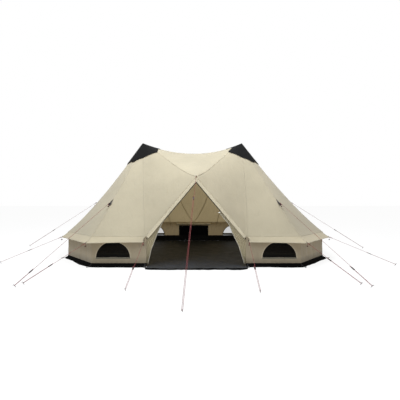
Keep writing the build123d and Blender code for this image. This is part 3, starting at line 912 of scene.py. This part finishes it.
def make_cap(roof, side):
    """Dark vent cap with a point on every seam and a hem that curves up between them."""
    marks = roof.marks[side]
    total = marks[-1] + CAP_RIDGE_COLUMNS
    corners = [*marks, marks[-1] + CAP_RIDGE_COLUMNS // 2, total]
    rows = []
    for r in range(CAP_ROWS + 1):
        row = []
        for c in range(total):
            low = max(m for m in corners if m <= c)
            high = min(m for m in corners if m > c)
            bow = math.sin(math.pi * (c - low) / (high - low))
            part = max((1 - CAP_BOW * bow) * r / CAP_ROWS, 0.004)
            point, normal = cap_point(roof, side, c, part)
            row.append(point + normal * (CAP_LIFT + CAP_BOW_LIFT * bow * r / CAP_ROWS))
        rows.append(row)
    parts = Parts()
    parts.grid(rows, closed=True)
    cap = parts.piece(f"vent_cap_cloth_{SIDES[side]}", "cap", "cap_cloth")
    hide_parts(f"vent_cap_{SIDES[side]}")
    thicken(cap, CAP_T, 1.0)
    hem = Parts()
    hem.tube([*rows[-1], rows[-1][0]], CAP_HEM_R, 6, cap=False)
    hem.piece(f"vent_cap_hem_{SIDES[side]}", "patch", "cap_cloth")


# ---------------------------------------------------------------- walls
HATCH_HALF_W = 0.545
HATCH_H = 0.57
WINDOW_Z = 0.197
WINDOW_H = 0.38
WINDOW_HALF_W = 0.397
WINDOW_X = {-1: 1.888, 1: 1.48}     # distance from the middle: front, rear
WALL_ROWS = 16
BINDING_HEART = Vector((0, 0.16))    # the binding is widened away from this point of its window
# Section of the binding: shift across the window's edge, and lift off the wall.
BINDING_SECTION = ((-0.012, 0.001), (-0.010, 0.004), (0.010, 0.004), (0.012, 0.001))
# The dark band at each front window's foot is painted shade for the inner cover seen in shadow.
BAND_HEIGHTS = (-0.020, -0.006, 0.010)
BAND_LIFT = 0.005
COVER_IN = 0.048            # rolled window covers: distance inside the wall, and height
COVER_Z = 0.252
COVER_T = 0.0015
COVER_ROLL = (0.40, 0.014, 0.040, 2.5)      # half length, inner and outer radius, and turns


def wall_run(side):
    """Plan corners of one side's wall, from the door jamb round to the rear panel."""
    plan = [(DOOR_HALF, -HALF_DEPTH), *WALL_CORNERS, (HATCH_HALF_W, HALF_DEPTH)]
    return [Vector((side * x, y, 0)) for x, y in plan]


def outward(a, b):
    """Direction away from the tent, square to the plan line from a to b."""
    out = Vector((b.y - a.y, a.x - b.x, 0)).normalized()
    return out if out.dot(a + b) > 0 else -out


def wall_point(a, b, u, z, seed):
    """Point of the standing cloth between two corners, with soft tension folds."""
    p = a.lerp(b, u)
    hold = math.sin(math.pi * min(max(z / WALL_TOP, 0), 1))
    free = min(1.0, 8 * u, 8 * (1 - u))
    fold = 0.010 * wobble((p.x, p.y, z * 0.6), 2.6, seed) + 0.004 * wobble((p.x, p.y, z), 9.0, seed + 5)
    fold += 0.006 * crease((p.x * 1.2, p.y * 1.2, z * 0.5 + 0.4 * u), 2.2, seed + 2)
    corner = 0.004 * math.sin(38 * u + 9 * z) * math.exp(-6 * min(u, 1 - u))
    shift = (fold + corner) * hold * free - 0.004 * hold
    clear = min(max((z - 0.21) / 0.12, 0), 1)       # the groundsheet's rim stands behind the foot
    return Vector((p.x, p.y, z)) + outward(a, b) * max(shift, shift * clear)


def arch(x):
    """Height of the window's arch above its foot, at a distance x from its middle."""
    return WINDOW_H * math.sqrt(max(0.0, 1 - (x / WINDOW_HALF_W) ** 2))


def window_columns(length, middle):
    """Positions along a wall, close together over the window."""
    before = np.linspace(0, middle - WINDOW_HALF_W, 10)[:-1]
    over = middle - WINDOW_HALF_W * np.cos(np.linspace(0, math.pi, 33))
    after = np.linspace(middle + WINDOW_HALF_W, length, 12)[1:]
    return np.concatenate([before, over, after])


def make_window(panes, tape, bands, a, b, middle, seed):
    """Mesh pane and its binding, on the wall's own surface."""
    out = outward(a, b)

    def on_wall(x, z, lift):
        """Point at x from the window's middle and z above its foot."""
        return wall_point(a, b, (middle + x) / (b - a).length, WINDOW_Z + z, seed) + out * lift

    turn = [math.pi * s for s in shares(32)]
    edge = [(-WINDOW_HALF_W * math.cos(t), arch(WINDOW_HALF_W * math.cos(t))) for t in turn]
    panes.grid([[on_wall(x, z * s, 0) for x, z in edge] for s in shares(8)])
    foot = [(WINDOW_HALF_W * (1 - k / 12), 0) for k in range(1, 24)]
    rim = edge + foot + [edge[0]]
    if bands:
        columns = np.linspace(-0.99, 0.99, 24) * WINDOW_HALF_W
        bands.grid([[on_wall(x, z, BAND_LIFT) for x in columns] for z in BAND_HEIGHTS])
    rows = []
    for shift, lift in BINDING_SECTION:
        row = []
        for x, z in rim:
            spot = Vector((x, z)) - BINDING_HEART
            spot = BINDING_HEART + spot * (1 + shift / spot.length)
            row.append(on_wall(spot.x, spot.y, lift))
        rows.append(row)
    tape.grid(rows)


def wall_strip(parts, a, b, seed, window):
    """One stretch of wall. window is the distance of its window's middle from a, or None."""
    length = (b - a).length
    if window is None:
        columns = np.linspace(0, length, max(6, int(length / 0.045)))
        heights = np.linspace(0, WALL_TOP, WALL_ROWS)
        parts.grid([[wall_point(a, b, x / length, z, seed) for x in columns] for z in heights])
        return
    columns = window_columns(length, window)
    low = np.linspace(0, WINDOW_Z, 6)
    parts.grid([[wall_point(a, b, x / length, z, seed) for x in columns] for z in low])
    feet = [WINDOW_Z + (arch(x - window) if abs(x - window) < WINDOW_HALF_W else 0) for x in columns]
    parts.grid([
        [wall_point(a, b, x / length, z + (WALL_TOP - z) * share, seed) for x, z in zip(columns, feet)]
        for share in np.linspace(0, 1, WALL_ROWS - 4)
    ])


def make_walls():
    """Wall cloth all round with its windows, but for the door and the rear panel."""
    cloth = Parts()
    panes = {0: Parts(), 5: Parts()}
    tape = Parts()
    bands = Parts()
    for side in SIDES:
        run = wall_run(side)
        windows = {0: WINDOW_X[-1] - DOOR_HALF, 5: CORNER_X - WINDOW_X[1]}
        for i, (a, b) in enumerate(zip(run, run[1:])):
            seed = 11.3 + i * 3.7 + side
            middle = windows.get(i)
            wall_strip(cloth, a, b, seed, middle)
            if middle is not None:
                make_window(panes[i], tape, bands if i == 0 else None, a, b, middle, seed)
    a, b = Vector((-HATCH_HALF_W, HALF_DEPTH, 0)), Vector((HATCH_HALF_W, HALF_DEPTH, 0))
    heights = np.linspace(HATCH_H, WALL_TOP, 4)
    cloth.grid([[wall_point(a, b, u, z, 2.0) for u in np.linspace(0, 1, 24)] for z in heights])
    walls = cloth.piece("wall_cloth", "wall", "wall_cloth")
    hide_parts("walls")
    # The front panes use the darker mesh as painted shade.
    front = panes[0].piece("window_panes_front", "mesh", "window_mesh")
    rear = panes[5].piece("window_panes_rear", "fine_mesh", "window_mesh")
    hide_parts("window_mesh")
    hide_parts("window_mesh")
    bindings = tape.piece("window_binding", "bind", "wall_cloth")
    foot_bands = bands.piece("window_bands", "band", "wall_cloth")
    thicken(foot_bands, COVER_T)


def make_rolled_covers():
    """Inner window covers, rolled down to the foot of each window, dark olive as painted shade on beige
    cloth.
    """
    for side, label in SIDES.items():
        for front, x in ((-1, WINDOW_X[-1]), (1, WINDOW_X[1])):
            parts = Parts()
            centre = Vector((side * x, front * (HALF_DEPTH - COVER_IN), COVER_Z))
            spiral_roll(parts, centre, *COVER_ROLL)
            name = f"window_cover_{label}_{'front' if front < 0 else 'rear'}"
            cover = parts.piece(name, "cover", "wall_cloth")
            thicken(cover, COVER_T)


def spiral_roll(parts, centre, half_length, r_in, r_out, turns):
    """Cloth rolled up along X: a spiral with a soft, uneven surface."""
    rows = []
    for share in shares(int(28 * turns)):
        a = 2 * math.pi * turns * share
        ends = 0.004 * wobble((a, 0, centre.z), 1.1, 4.0)
        row = []
        for across in shares(32):
            x = (across * 2 - 1) * half_length
            sag = 0.0025 * wobble((centre.x + x, a * 0.3, centre.y), 5, 1.7)
            r = r_in + (r_out - r_in) * share + sag * share
            row.append(centre + Vector((x * (1 - abs(ends) / half_length), r * math.cos(a), r * math.sin(a))))
        rows.append(row)
    parts.grid(rows)


# ---------------------------------------------------------------- floor
FLOOR_IN = 0.0042           # groundsheet's distance inside the wall
RIM_H = 0.199
SILL_HALF_W = DOOR_HALF - 0.004
STRIP_H = 0.077
SILL_REACH = 0.295


def inward_at(corners, i):
    """Direction that halves the angle at one corner of a closed run, towards the tent's middle."""
    before = (corners[i] - corners[i - 1]).normalized()
    after = (corners[(i + 1) % len(corners)] - corners[i]).normalized()
    return Vector((before.y + after.y, -before.x - after.x, 0)).normalized()


def plan_run(offset):
    """Plan corners from the door's left jamb round by the rear to its right jamb, moved inward."""
    corners = [Vector((-x, y, 0)) for x, y in WALL_CORNERS]
    corners += [Vector((-c.x, c.y, 0)) for c in reversed(corners)]
    moved = []
    for i, here in enumerate(corners):
        half_turn = (here - corners[i - 1]).angle(corners[(i + 1) % len(corners)] - here) / 2
        moved.append(here + inward_at(corners, i) * (offset / math.cos(half_turn)))
    front = moved[0].y
    return [Vector((-DOOR_HALF, front, 0))] + moved + [Vector((DOOR_HALF, front, 0))]


def run_points(corners, spacing):
    """Points along a run of corners, each with its outward direction."""
    found = []
    for i, (a, b) in enumerate(zip(corners, corners[1:])):
        steps = max(2, round((b - a).length / spacing))
        for k in range(steps + (i == len(corners) - 2)):
            found.append((a.lerp(b, k / steps), outward(a, b)))
    return found


def floor_height(p):
    """Laid coated sheet: broad swells and small standing creases."""
    swell = 0.5 + 0.5 * wobble(p, 1.1, 2.0)
    ridge = crease(p, 1.6, 6.0) * (0.5 + 0.5 * wobble(p, 0.7, 9.0))
    fine = crease(p, 4.5, 12.0) * 0.35
    return 0.0013 + 0.004 * swell + 0.009 * ridge + 0.004 * fine


def sill_point(x, front, s):
    """Point of the sill at x. s goes from 0 at the door to 1 at the wavy outer edge."""
    wave = 0.030 * wobble((x, 0, 0), 2.9, 5.0) + 0.024 * wobble((x, 0, 0), 9.0, 1.0)
    corner = 0.07 * max(0.0, (abs(x) - 0.98) / 0.15) ** 2
    y = front + (wave + corner - SILL_REACH) * s
    swell = (0.5 + 0.5 * wobble((x, y, 0), 4.2, 7.0)) * 0.012 + crease((x, y * 0.4, 0), 3.1, 2.0) * 0.008
    lift = 0.024 + 0.016 * max(0.0, wobble((x, 0, 0), 3.4, 8.5))
    lift += 0.010 * max(0.0, wobble((x, 0, 0), 10.0, 3.0))
    return Vector((x, y, 0.0013 + swell * min(1, 3 * s) * (1 - 0.6 * s) + lift * s**2))


def make_groundsheet():
    """Floor, the rim that stands up inside the wall, and the sill with its black turned-down lip. The floor
    material paints shade on the rim and the raised sill edge, and the lip's black is painted shade under the
    curled edge.
    """
    parts = Parts()
    run = run_points(plan_run(FLOOR_IN), 0.06)
    front = run[0][0].y
    door = [Vector((x, front, 0)) for x in np.linspace(DOOR_HALF, -DOOR_HALF, 40)[1:-1]]
    edge = [p for p, _ in run] + door
    rows = []
    for s in shares(44):
        share = max(s, 0.0005)
        free = min(1, 14 * (1 - share) + 0.15)
        row = [p * share for p in edge]
        rows.append([Vector((p.x, p.y, floor_height(p) * free)) for p in row])
    parts.grid(rows, closed=True)
    rim = []
    for s in shares(8):
        z = 0.001 + RIM_H * s
        hold = math.sin(math.pi * min(1, 0.15 + 0.8 * s))
        row = []
        for p, out in run:
            fold = abs(wobble((p.x, p.y, z), 3.0, 8.0)) * 0.014 + crease((p.x, p.y, z), 7.0, 3.3) * 0.004
            row.append(p - out * fold * hold + UP * z)
        rim.append(row)
    parts.grid(rim)
    columns = np.linspace(-SILL_HALF_W, SILL_HALF_W, 110)
    sill = [[sill_point(x, front, s) for x in columns] for s in shares(14)]
    parts.grid(sill)
    sheet = parts.piece("groundsheet_cloth", "floor", "groundsheet")
    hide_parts("groundsheet")
    # The lip is a real turned-down edge of the sheet; its near-black colour, darker than the groundsheet, is
    # painted shade under the curled edge.
    lip = Parts()
    rows = []
    for s in shares(4):
        tuck = 0.010 * math.sin(math.pi * s) - 0.0026
        rows.append([Vector((p.x, p.y + tuck, p.z + 0.0008 - (p.z - 0.0006) * s)) for p in sill[-1]])
    lip.grid(rows)
    shaded_sill_lip = lip.piece("shaded_sill_lip", "mud", "groundsheet")
    thicken(shaded_sill_lip, CLOTH)


def make_mud_strip():
    """Black strip at the wall's foot that spreads outward on the ground."""
    parts = Parts()
    run = run_points(plan_run(-0.002), 0.04)
    rows = []
    for s in shares(11):
        z = STRIP_H * (1 - s) ** 1.5 + CLOTH
        row = []
        for p, out in run:
            wave = 0.5 + 0.7 * wobble(p, 2.2, 4.4) + 0.25 * wobble(p, 7.0, 6.1)
            reach = 0.058 + 0.060 * min(1.0, max(0.0, wave))
            bulge = 0.003 * wobble((p.x, p.y, z * 9), 9.0, 2.2) * math.sin(math.pi * s)
            row.append(p + out * (0.001 + reach * s**2.4 + bulge) + UP * z)
        rows.append(row)
    parts.grid(rows)
    strip = parts.piece("mud_strip_cloth", "mud", "mud_strip")
    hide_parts("mud_strip")
    thicken(strip, CLOTH)


# ---------------------------------------------------------------- door
FLAP_MID_Y = -1.8695
FLAP_SWING = 0.0145
PLEATS = 5
DOOR_BAND_W = 0.078
DOOR_BAND_IN = 0.002
TIE_LOOP_R = 0.002
# Edges of the drawn-back door cloths, as distances from the middle and heights, from the top:
# what both are held by, and for each its free edge and the top of its held edge.
JAMB = [(1.165, 0.56), (1.165, 0.26), (1.124, 0.215), (1.124, 0.06)]
FLAPS = {
    -1: ([(0.763, 1.010), (0.885, 0.747), (1.026, 0.375), (1.095, 0.06)], (0.850, 0.985)),
    1: ([(0.522, 1.228), (0.742, 0.96), (0.824, 0.761), (0.96, 0.488), (1.098, 0.06)], (0.650, 1.226)),
}


def at_share(points, share):
    """Point a given share of the way along a polyline."""
    points = [Vector(p) for p in points]
    lengths = [(b - a).length for a, b in zip(points, points[1:])]
    left = share * sum(lengths)
    for a, b, length in zip(points, points[1:], lengths):
        if left <= length:
            return a.lerp(b, left / length)
        left -= length
    return points[-1]


def make_flap(side):
    """Door cloth drawn aside in folds, with the binding of its free edge."""
    label = SIDES[side]
    free, top = FLAPS[side]
    rows = []
    for s in shares(48):
        near, far = at_share(free, s), at_share([top, *JAMB], s)
        row = []
        for t in shares(8 * PLEATS):
            p = near.lerp(far, t)
            phase = 2 * math.pi * PLEATS * t + 0.9 * wobble((t, s, 0), 2.0, 3.0 * side)
            depth = FLAP_SWING * (0.55 + 0.45 * min(1, 4 * t)) * (0.75 + 0.25 * wobble((s, t, 0), 3.0, 1.5))
            row.append(Vector((side * p.x, FLAP_MID_Y - depth * math.cos(phase), p.y)))
        rows.append(row)
    parts = Parts()
    parts.grid(rows)
    flap = parts.piece(f"door_cloth_{label}", "door", "door_cloth")
    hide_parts(f"door_flap_{label}")
    thicken(flap, CLOTH)
    binding = Parts()
    line = [row[0] + Vector((0, -0.001, 0)) for row in rows]
    binding.strap(line, Vector((1, 0.15, 0)), 0.012, 0.003)
    trim = binding.piece(f"door_binding_{label}", "edge", "door_cloth")
    return flap, trim


def make_door():
    """Bands along the door's edges, the cloth tied back to each side, and what holds it."""
    left, left_trim = make_flap(-1)
    right, right_trim = make_flap(1)
    bands = Parts()
    down = (wall_line(1)[0] - DOOR_APEX).normalized()
    for side in SIDES:
        inward = Vector((side * down.z, 0, -down.x)).normalized()
        rows = []
        for s in shares(60):
            top = DOOR_APEX + Vector((0, 0.0006, 0)) + (wall_line(side)[0] - DOOR_APEX) * s
            row = []
            for t in shares(8):
                p = top + inward * (DOOR_BAND_IN + DOOR_BAND_W * t)
                if side * p.x < 0:
                    p -= Vector((side * down.x, 0, down.z)) * (side * p.x / down.x)
                ripple = 0.0035 * wobble((p.x, t, p.z), 4.0, 6.6 + side) * t
                row.append(Vector((p.x, p.y + 0.001 + ripple + 0.002 * math.cos(math.pi * t), p.z)))
            rows.append(row)
        bands.grid(rows)
    # door_facing paints light on the bands: a lighter copy of the canvas.
    band = bands.piece("door_bands", "facing", "door_cloth")
    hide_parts("door_hem")
    thicken(band, CLOTH)
    toggle = Parts()
    stick = [(0.500, -1.895, 1.222), (0.506, -1.895, 1.224), (0.538, -1.895, 1.232), (0.544, -1.895, 1.234)]
    toggle.tube(stick, [0.003, 0.0065, 0.0065, 0.003], 12)
    toggle.piece("door_toggle", "white", "runner_plastic")
    loops = Parts()
    loops.tube([(0.522, -1.893, 1.228), (0.530, -1.889, 1.235), (0.548, -1.886, 1.262)], TIE_LOOP_R, 6)
    loops.tube([(-0.763, -1.888, 1.012), (-0.752, -1.890, 1.022), (-0.735, -1.889, 1.045)], TIE_LOOP_R, 6)
    loops.piece("door_tie_loops", "edge", "door_cloth")


# ---------------------------------------------------------------- rear panel
ROLL_CENTRE = Vector((0, 1.8488, 0.628))
REAR_ROLL = (0.64, 0.012, 0.0355, 3.5)      # as COVER_ROLL
TIE_X = (-0.42, 0, 0.42)
TIE_TURN_R = 0.038
TIE_R = 0.0022


def hatch_point(x, z):
    """Point of the rear panel, which bulges a little inward."""
    bulge = 0.006 * abs(wobble((x, 0, z), 2.4, 5.5)) * math.sin(math.pi * z / HATCH_H)
    return Vector((x, HALF_DEPTH - 0.0006 - bulge, z))


def make_rear():
    """Dark panel in the rear wall, and the flap rolled up over it with its ties."""
    parts = Parts()
    columns = np.linspace(-HATCH_HALF_W, HATCH_HALF_W, 40)
    parts.grid([[hatch_point(x, z) for x in columns] for z in np.linspace(0.001, HATCH_H, 18)])
    panel = parts.piece("rear_panel_cloth", "hatch", "hatch_cloth")
    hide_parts("rear_hatch")
    roll_parts = Parts()
    spiral_roll(roll_parts, ROLL_CENTRE, *REAR_ROLL)
    # The roll's light colour is painted light.
    roll = roll_parts.piece("rear_roll_cloth", "roll", "door_cloth")
    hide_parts("rear_hatch_roll")
    ties = Parts()
    for x in TIE_X:
        for shift in (-0.004, 0.004):
            ties.torus(ROLL_CENTRE + Vector((x + shift, 0, 0)), (1, 0.02, 0), TIE_TURN_R, TIE_R, 24, 6)
        hang = [(x, 1.81, 0.615), (x + 0.004, 1.806, 0.58), (x - 0.003, 1.808, 0.53)]
        ties.tube(hang, TIE_R, 6)
    tie = ties.piece("rear_roll_ties", "edge", "door_cloth")


# ---------------------------------------------------------------- fittings
WALL_PEG_OUT = 0.140
RING_R = 0.023
RING_WIRE_R = 0.0032
HANG_CORD_L = 0.062         # toggles hung from the roof: length and radius of their cord
HANG_CORD_R = 0.0025
LOOP_SIZE = (0.028, 0.0018)         # width and thickness of the webbing loops
TAB_SIZE = (0.028, 0.0025)          # of the tabs on the roof, under the eave's tips, and at the apex
TIP_TAB_SIZE = (0.014, 0.002)
APEX_TAB_SIZE = (0.022, 0.002)


def wall_peg_spots():
    """Plan point at the wall and outward direction of each peg at the wall's foot."""
    corners = plan_run(0)[1:-1]
    spots = [(here, -inward_at(corners, i)) for i, here in enumerate(corners)]
    for side in SIDES:
        spots.append((Vector((side * (DOOR_HALF + 0.03), -HALF_DEPTH, 0)), Vector((0, -1, 0))))
        spots.append((Vector((side * REAR_GUY_X, HALF_DEPTH, 0)), Vector((0, 1, 0))))
    return spots


def make_peg_loops():
    """Webbing loop and ring at each peg of the wall's foot."""
    webbing = Parts()
    rings = Parts()
    for here, out in wall_peg_spots():
        side = Vector((-out.y, out.x, 0))
        peg = here + out * WALL_PEG_OUT + UP * 0.016
        rings.torus(peg - out * 0.016, UP + out * 0.3, RING_R, RING_WIRE_R)
        end = peg - out * 0.039
        for z, shift in ((0.062, 0.0012), (0.040, -0.0012)):
            path = [
                here + out * 0.006 + UP * z,
                here + out * 0.020 + UP * (z * 0.75),
                end.lerp(here, 0.3) + UP * (0.008 + shift),
                end + UP * shift,
            ]
            webbing.strap(path, side, *LOOP_SIZE)
    webbing.piece("peg_loops", "webbing", "wall_cloth", smooth=False)
    rings.piece("peg_loop_rings", "ring", "ring_steel")


def hang_toggle(cords, toggles, top, way):
    """Dark toggle on a short cord."""
    way = way.normalized()
    low = top + way * HANG_CORD_L
    cords.tube([top, top + way * 0.03, low], HANG_CORD_R, 6)
    cross = way.orthogonal().normalized()
    ends = [low + way * 0.006 + cross * d for d in (-0.019, -0.016, 0.016, 0.019)]
    toggles.tube(ends, [0.006, 0.0105, 0.0105, 0.006], 10)


PATCH_UP = 0.19             # reinforcing patch: reach above the guy's ring
PATCH_HALF_W = 0.040


def make_roof_fittings(roof):
    """Reinforcing patches, webbing tabs to the guys' rings, and hooks under the eave's tips."""
    patches = Parts()
    tabs = Parts()
    cords = Parts()
    toggles = Parts()
    guy_row = SEAM_GUY_SHARE * ROWS
    lifts = [(t, 0.0045 - 0.0012 * abs(t)) for t in np.linspace(-1, 1, 5)]
    for side in SIDES:
        grid, marks = roof.fans[side], roof.marks[side]
        for corner in SEAM_GUY_MARKS:
            column = marks[corner]
            middle, normal = roof.on(grid, guy_row, column)
            above, _ = roof.on(grid, guy_row - 2, column)
            below, _ = roof.on(grid, guy_row + 2, column)
            down = (below - above).normalized()
            across = down.cross(normal).normalized()
            start = roof.row_at(grid, column, (middle - PEAK[side]).length - PATCH_UP)
            rows = []
            for s in shares(14):
                spot, up = roof.on(grid, start + (guy_row + 0.5 - start) * s, column)
                wide = across * (PATCH_HALF_W * (0.06 + 0.94 * min(1, s * 1.6)) * (1 - max(0, s - 0.85) * 3))
                rows.append([spot + wide * t + up * lift for t, lift in lifts])
            patches.grid(rows)
            tip = seam_guy(side, corner - 1)
            path = [middle + normal * 0.004 - down * 0.03, middle + normal * 0.006, tip]
            tabs.strap(path, across, *TAB_SIZE)
            hang_toggle(cords, toggles, middle + normal * 0.014, down)
        for inner, tip in list(zip(wall_line(side), eave_line(side)))[:-1]:
            down = (tip - inner).normalized()
            across = down.cross(UP).normalized()
            path = [tip - down * 0.045 + UP * 0.003, tip + UP * 0.002, tip + down * 0.012]
            tabs.strap(path, across, *TIP_TAB_SIZE)
            hang_toggle(cords, toggles, tip - down * 0.006 - UP * 0.004, Vector((0.05 * side, 0, -1)))
    apex = DOOR_APEX + UP * 0.004
    path = [apex + Vector((0, 0.05, 0.018)), apex, GUYS["door"][0] - Vector((0, 0.002, 0.002))]
    tabs.strap(path, Vector((1, 0, 0)), *APEX_TAB_SIZE)
    patches.piece("guy_patches", "patch", "cap_cloth")
    tabs.piece("guy_tabs", "webbing", "canopy_cloth", smooth=False)
    cords.piece("toggle_cords", "rope", "guy_rope")
    toggles.piece("toggles", "toggle", "rubber")


# ---------------------------------------------------------------- stage
SIDE_FROM = 0.63            # the world changes between these shares of the way to a side
SIDE_TO = 0.95
LIT_POINT = Vector((0, 0, 1.2))
# Name, place, energy, size and colour.
LIGHTS = [
    ("key", (-4.5, -7, 8), 545, 4, (0.90, 0.95, 1)),
    ("top", (0.2, -2.4, 7.6), 560, 3, (0.93, 0.96, 1)),
]


def make_ground():
    """White ground that gives off some light of its own, as in a photo on white paper."""
    data = bpy.data.meshes.new("stage_floor")
    far = 60
    data.from_pydata([(-far, -far, 0), (far, -far, 0), (far, far, 0), (-far, far, 0)], [], [(0, 1, 2, 3)])
    ground = bpy.data.objects.new("stage_floor", data)
    ground.location.z = -0.002
    s = Shader("stage_floor")
    s.look(
        Base_Color=grey(0.11), Roughness=1.0, Specular_IOR_Level=0.0,
        Emission_Color=grey(1), Emission_Strength=0.87,
    )
    data.materials.append(s.material)
    bpy.context.collection.objects.link(ground)


def make_world():
    """White studio, dimmer at both sides and warmer on the right. In a picture it is plain white."""
    world = bpy.data.worlds.new("studio")
    bpy.context.scene.world = world
    world.use_nodes = True
    sky = Nodes(world.node_tree)
    x = (sky.add("ShaderNodeSeparateXYZ", {"Vector": (sky.add("ShaderNodeTexCoord"), "Generated")}), "X")
    colour = sky.ramp(x, (SIDE_FROM, grey(1)), (SIDE_TO, (0.80, 0.70, 0.55)))
    strength = sky.range(sky.math("ABSOLUTE", x), SIDE_FROM, SIDE_TO, 1.0, 0.4)
    light = sky.add("ShaderNodeBackground", {"Color": colour, "Strength": strength})
    white = sky.add("ShaderNodeBackground", {"Color": grey(1)})
    in_picture = (sky.add("ShaderNodeLightPath"), "Is Camera Ray")
    both = sky.mix_shaders(in_picture, (light, "Background"), (white, "Background"))
    sky.add("ShaderNodeOutputWorld", {"Surface": both})


def make_lights():
    for name, place, energy, size, colour in LIGHTS:
        light = bpy.data.lights.new(name, "AREA")
        light.energy = energy
        light.size = size
        light.color = colour
        lamp = bpy.data.objects.new(name, light)
        lamp.location = place
        lamp.rotation_euler = (LIT_POINT - Vector(place)).to_track_quat("-Z", "Y").to_euler()
        bpy.context.collection.objects.link(lamp)


def make_stage():
    make_ground()
    make_world()
    make_lights()
    scene = bpy.context.scene
    scene.view_settings.view_transform = "Standard"
    scene.view_settings.look = "None"
    scene.cycles.use_denoising = True


def give_cad_materials():
    """Procedural material on every CAD node that stays."""
    kinds = {
        "guy_runner": "runner",
        "main_pole": "pole",
        "door_frame": "frame",
        "pole_feet": "rubber",
        "pegs": "peg",
        "guy_rings": "ring",
        "mud_strip": "mud",
        "groundsheet": "floor",
        "door_hem": "hem",
        "door_flap": "door",
        "rear_hatch_roll": "door",
        "rear_hatch": "hatch",
        "window_mesh": "mesh",
        "walls": "wall",
        "canopy": "canvas",
        "vent_cap": "cap",
        "guy_rope": "rope",
    }
    for name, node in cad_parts.items():
        kind = next(k for k in kinds if name.startswith(k))
        node.data.materials.clear()
        node.data.materials.append(MATERIALS[kinds[kind]])


make_camera()
make_materials()
for guy_name, guy in GUYS.items():
    make_guy(guy_name, *guy)
give_cad_materials()
roof = make_roof()
make_seams(roof)
for peak_side in SIDES:
    make_cap(roof, peak_side)
make_walls()
make_rolled_covers()
make_groundsheet()
make_mud_strip()
make_door()
make_rear()
make_peg_loops()
make_roof_fittings(roof)
make_stage()
